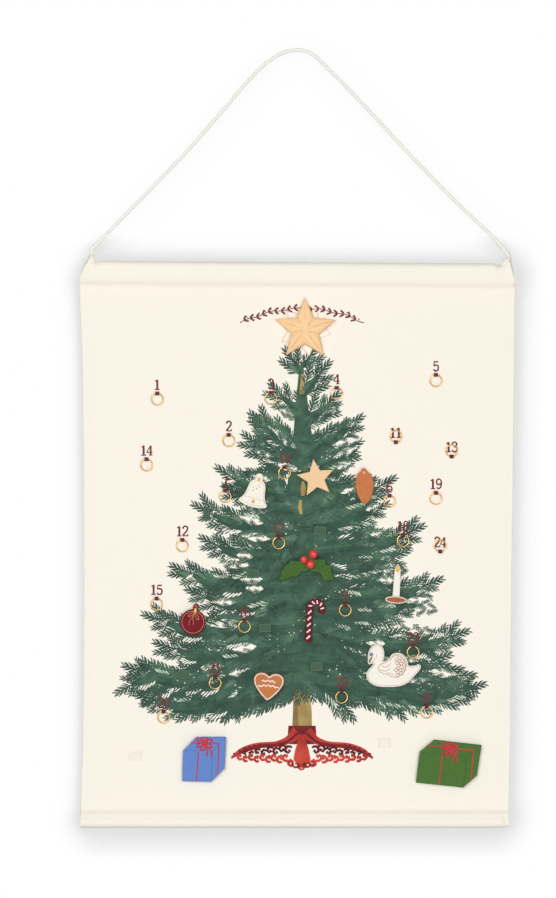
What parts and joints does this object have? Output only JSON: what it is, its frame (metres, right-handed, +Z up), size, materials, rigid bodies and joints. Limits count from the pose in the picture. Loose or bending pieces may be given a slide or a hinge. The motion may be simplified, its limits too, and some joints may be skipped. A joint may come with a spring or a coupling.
{
  "type": "textile advent calendar",
  "caption": "Wall-hung fabric countdown panel with a tree print, sewn rings that swing under the day numbers, and pull-off felt ornaments.",
  "frame": {"origin": "middle of the hanging cord, where it passes over the nail", "axes": "+Z up, +X to the viewer's right, -Y towards the viewer, +Y towards the wall"},
  "size_m": [0.61, 0.025, 1.0913],
  "materials": {
    "canvas": "natural cotton canvas with a printed tree",
    "wood": "bare",
    "cord": "twisted cotton",
    "brass": "polished",
    "hook_pad": "hook tape",
    "white_felt": "felt",
    "tan_felt": "felt",
    "peach_felt": "stuffed cotton",
    "brown_felt": "felt",
    "green_felt": "felt",
    "berry": "felt",
    "flame": "felt",
    "dark_red_felt": "felt",
    "ginger_felt": "stuffed felt",
    "blue_felt": "felt",
    "gift_green_felt": "felt"
  },
  "bodies": {
    "panel": {"canvas_panel": "canvas", "top_dowel": "wood", "bottom_dowel": "wood", "hanging_cord": "cord", "sleeve_cord": "cord"},
    "ring_01": {"day_ring_01": "brass"},
    "ring_02": {"day_ring_02": "brass"},
    "ring_03": {"day_ring_03": "brass"},
    "ring_04": {"day_ring_04": "brass"},
    "ring_05": {"day_ring_05": "brass"},
    "ring_06": {"day_ring_06": "brass"},
    "ring_07": {"day_ring_07": "brass"},
    "ring_08": {"day_ring_08": "brass"},
    "ring_09": {"day_ring_09": "brass"},
    "ring_10": {"day_ring_10": "brass"},
    "ring_11": {"day_ring_11": "brass"},
    "ring_12": {"day_ring_12": "brass"},
    "ring_13": {"day_ring_13": "brass"},
    "ring_14": {"day_ring_14": "brass"},
    "ring_15": {"day_ring_15": "brass"},
    "ring_16": {"day_ring_16": "brass"},
    "ring_17": {"day_ring_17": "brass"},
    "ring_18": {"day_ring_18": "brass"},
    "ring_19": {"day_ring_19": "brass"},
    "ring_20": {"day_ring_20": "brass"},
    "ring_21": {"day_ring_21": "brass"},
    "ring_22": {"day_ring_22": "brass"},
    "ring_23": {"day_ring_23": "brass"},
    "ring_24": {"day_ring_24": "brass"},
    "star_topper": {"star_topper": "peach_felt", "star_topper_pad": "hook_pad"},
    "bell": {"bell": "white_felt", "bell_pad": "hook_pad"},
    "flat_star": {"flat_star": "tan_felt", "flat_star_pad": "hook_pad"},
    "pine_cone": {"pine_cone": "brown_felt", "pine_cone_pad": "hook_pad"},
    "holly": {"holly_leaves": "green_felt", "holly_berry_1": "berry", "holly_berry_2": "berry", "holly_berry_3": "berry", "holly_pad": "hook_pad"},
    "candle": {"candle": "white_felt", "candle_flame": "flame", "candle_dish": "brown_felt", "candle_pad": "hook_pad"},
    "candy_cane": {"candy_cane": "dark_red_felt", "candy_cane_pad": "hook_pad"},
    "bauble": {"bauble": "dark_red_felt", "bauble_pad": "hook_pad"},
    "gingerbread_heart": {"gingerbread_heart": "ginger_felt", "gingerbread_heart_pad": "hook_pad"},
    "swan": {"swan": "white_felt", "swan_wing": "white_felt", "swan_pad": "hook_pad"},
    "blue_gift": {"blue_gift": "blue_felt", "blue_gift_pad": "hook_pad"},
    "green_gift": {"green_gift": "gift_green_felt", "green_gift_pad": "hook_pad"}
  },
  "joints": [
    {"name": "ring_01_swing", "type": "hinge", "parent": "panel", "child": "ring_01", "pos_m": [-0.196, -0.0018, -0.4809], "axis": [-1, 0, 0], "range_deg": [0, 180]},
    {"name": "ring_02_swing", "type": "hinge", "parent": "panel", "child": "ring_02", "pos_m": [-0.096, -0.0018, -0.5389], "axis": [-1, 0, 0], "range_deg": [0, 180]},
    {"name": "ring_03_swing", "type": "hinge", "parent": "panel", "child": "ring_03", "pos_m": [-0.037, -0.0018, -0.4799], "axis": [-1, 0, 0], "range_deg": [0, 180]},
    {"name": "ring_04_swing", "type": "hinge", "parent": "panel", "child": "ring_04", "pos_m": [0.055, -0.0018, -0.4729], "axis": [-1, 0, 0], "range_deg": [0, 180]},
    {"name": "ring_05_swing", "type": "hinge", "parent": "panel", "child": "ring_05", "pos_m": [0.194, -0.0018, -0.4549], "axis": [-1, 0, 0], "range_deg": [0, 180]},
    {"name": "ring_06_swing", "type": "hinge", "parent": "panel", "child": "ring_06", "pos_m": [0.129, -0.0018, -0.6239], "axis": [-1, 0, 0], "range_deg": [0, 180]},
    {"name": "ring_07_swing", "type": "hinge", "parent": "panel", "child": "ring_07", "pos_m": [-0.101, -0.0018, -0.6169], "axis": [-1, 0, 0], "range_deg": [0, 180]},
    {"name": "ring_08_swing", "type": "hinge", "parent": "panel", "child": "ring_08", "pos_m": [0.181, -0.0018, -0.9189], "axis": [-1, 0, 0], "range_deg": [0, 180]},
    {"name": "ring_09_swing", "type": "hinge", "parent": "panel", "child": "ring_09", "pos_m": [0.067, -0.0018, -0.7759], "axis": [-1, 0, 0], "range_deg": [0, 180]},
    {"name": "ring_10_swing", "type": "hinge", "parent": "panel", "child": "ring_10", "pos_m": [-0.018, -0.0018, -0.5839], "axis": [-1, 0, 0], "range_deg": [0, 180]},
    {"name": "ring_11_swing", "type": "hinge", "parent": "panel", "child": "ring_11", "pos_m": [0.138, -0.0018, -0.5491], "axis": [1, 0, 0], "range_deg": [0, 180.7]},
    {"name": "ring_12_swing", "type": "hinge", "parent": "panel", "child": "ring_12", "pos_m": [-0.161, -0.0018, -0.6859], "axis": [-1, 0, 0], "range_deg": [0, 180]},
    {"name": "ring_13_swing", "type": "hinge", "parent": "panel", "child": "ring_13", "pos_m": [0.216, -0.0018, -0.5691], "axis": [1, 0, 0], "range_deg": [0, 180.7]},
    {"name": "ring_14_swing", "type": "hinge", "parent": "panel", "child": "ring_14", "pos_m": [-0.211, -0.0018, -0.5729], "axis": [-1, 0, 0], "range_deg": [0, 180]},
    {"name": "ring_15_swing", "type": "hinge", "parent": "panel", "child": "ring_15", "pos_m": [-0.197, -0.0018, -0.7679], "axis": [-1, 0, 0], "range_deg": [0, 180]},
    {"name": "ring_16_swing", "type": "hinge", "parent": "panel", "child": "ring_16", "pos_m": [-0.074, -0.0018, -0.7989], "axis": [-1, 0, 0], "range_deg": [0, 180]},
    {"name": "ring_17_swing", "type": "hinge", "parent": "panel", "child": "ring_17", "pos_m": [-0.026, -0.0018, -0.6819], "axis": [-1, 0, 0], "range_deg": [0, 180]},
    {"name": "ring_18_swing", "type": "hinge", "parent": "panel", "child": "ring_18", "pos_m": [0.148, -0.0018, -0.6789], "axis": [-1, 0, 0], "range_deg": [0, 180]},
    {"name": "ring_19_swing", "type": "hinge", "parent": "panel", "child": "ring_19", "pos_m": [0.194, -0.0018, -0.6199], "axis": [-1, 0, 0], "range_deg": [0, 180]},
    {"name": "ring_20_swing", "type": "hinge", "parent": "panel", "child": "ring_20", "pos_m": [-0.187, -0.0018, -0.9259], "axis": [-1, 0, 0], "range_deg": [0, 180]},
    {"name": "ring_21_swing", "type": "hinge", "parent": "panel", "child": "ring_21", "pos_m": [-0.115, -0.0018, -0.8779], "axis": [-1, 0, 0], "range_deg": [0, 180]},
    {"name": "ring_22_swing", "type": "hinge", "parent": "panel", "child": "ring_22", "pos_m": [0.062, -0.0018, -0.8979], "axis": [-1, 0, 0], "range_deg": [0, 180]},
    {"name": "ring_23_swing", "type": "hinge", "parent": "panel", "child": "ring_23", "pos_m": [0.162, -0.0018, -0.8349], "axis": [-1, 0, 0], "range_deg": [0, 180]},
    {"name": "ring_24_swing", "type": "hinge", "parent": "panel", "child": "ring_24", "pos_m": [0.2, -0.0018, -0.7021], "axis": [1, 0, 0], "range_deg": [0, 180.7]},
    {"name": "star_topper_pull", "type": "slide", "parent": "panel", "child": "star_topper", "axis": [0, -1, 0], "range_m": [0, 0.06]},
    {"name": "bell_pull", "type": "slide", "parent": "panel", "child": "bell", "axis": [0, -1, 0], "range_m": [0, 0.06]},
    {"name": "flat_star_pull", "type": "slide", "parent": "panel", "child": "flat_star", "axis": [0, -1, 0], "range_m": [0, 0.06]},
    {"name": "pine_cone_pull", "type": "slide", "parent": "panel", "child": "pine_cone", "axis": [0, -1, 0], "range_m": [0, 0.06]},
    {"name": "holly_pull", "type": "slide", "parent": "panel", "child": "holly", "axis": [0, -1, 0], "range_m": [0, 0.06]},
    {"name": "candle_pull", "type": "slide", "parent": "panel", "child": "candle", "axis": [0, -1, 0], "range_m": [0, 0.06]},
    {"name": "candy_cane_pull", "type": "slide", "parent": "panel", "child": "candy_cane", "axis": [0, -1, 0], "range_m": [0, 0.06]},
    {"name": "bauble_pull", "type": "slide", "parent": "panel", "child": "bauble", "axis": [0, -1, 0], "range_m": [0, 0.06]},
    {"name": "gingerbread_heart_pull", "type": "slide", "parent": "panel", "child": "gingerbread_heart", "axis": [0, -1, 0], "range_m": [0, 0.06]},
    {"name": "swan_pull", "type": "slide", "parent": "panel", "child": "swan", "axis": [0, -1, 0], "range_m": [0, 0.06]},
    {"name": "blue_gift_pull", "type": "slide", "parent": "panel", "child": "blue_gift", "axis": [0, -1, 0], "range_m": [0, 0.06]},
    {"name": "green_gift_pull", "type": "slide", "parent": "panel", "child": "green_gift", "axis": [0, -1, 0], "range_m": [0, 0.06]}
  ]
}
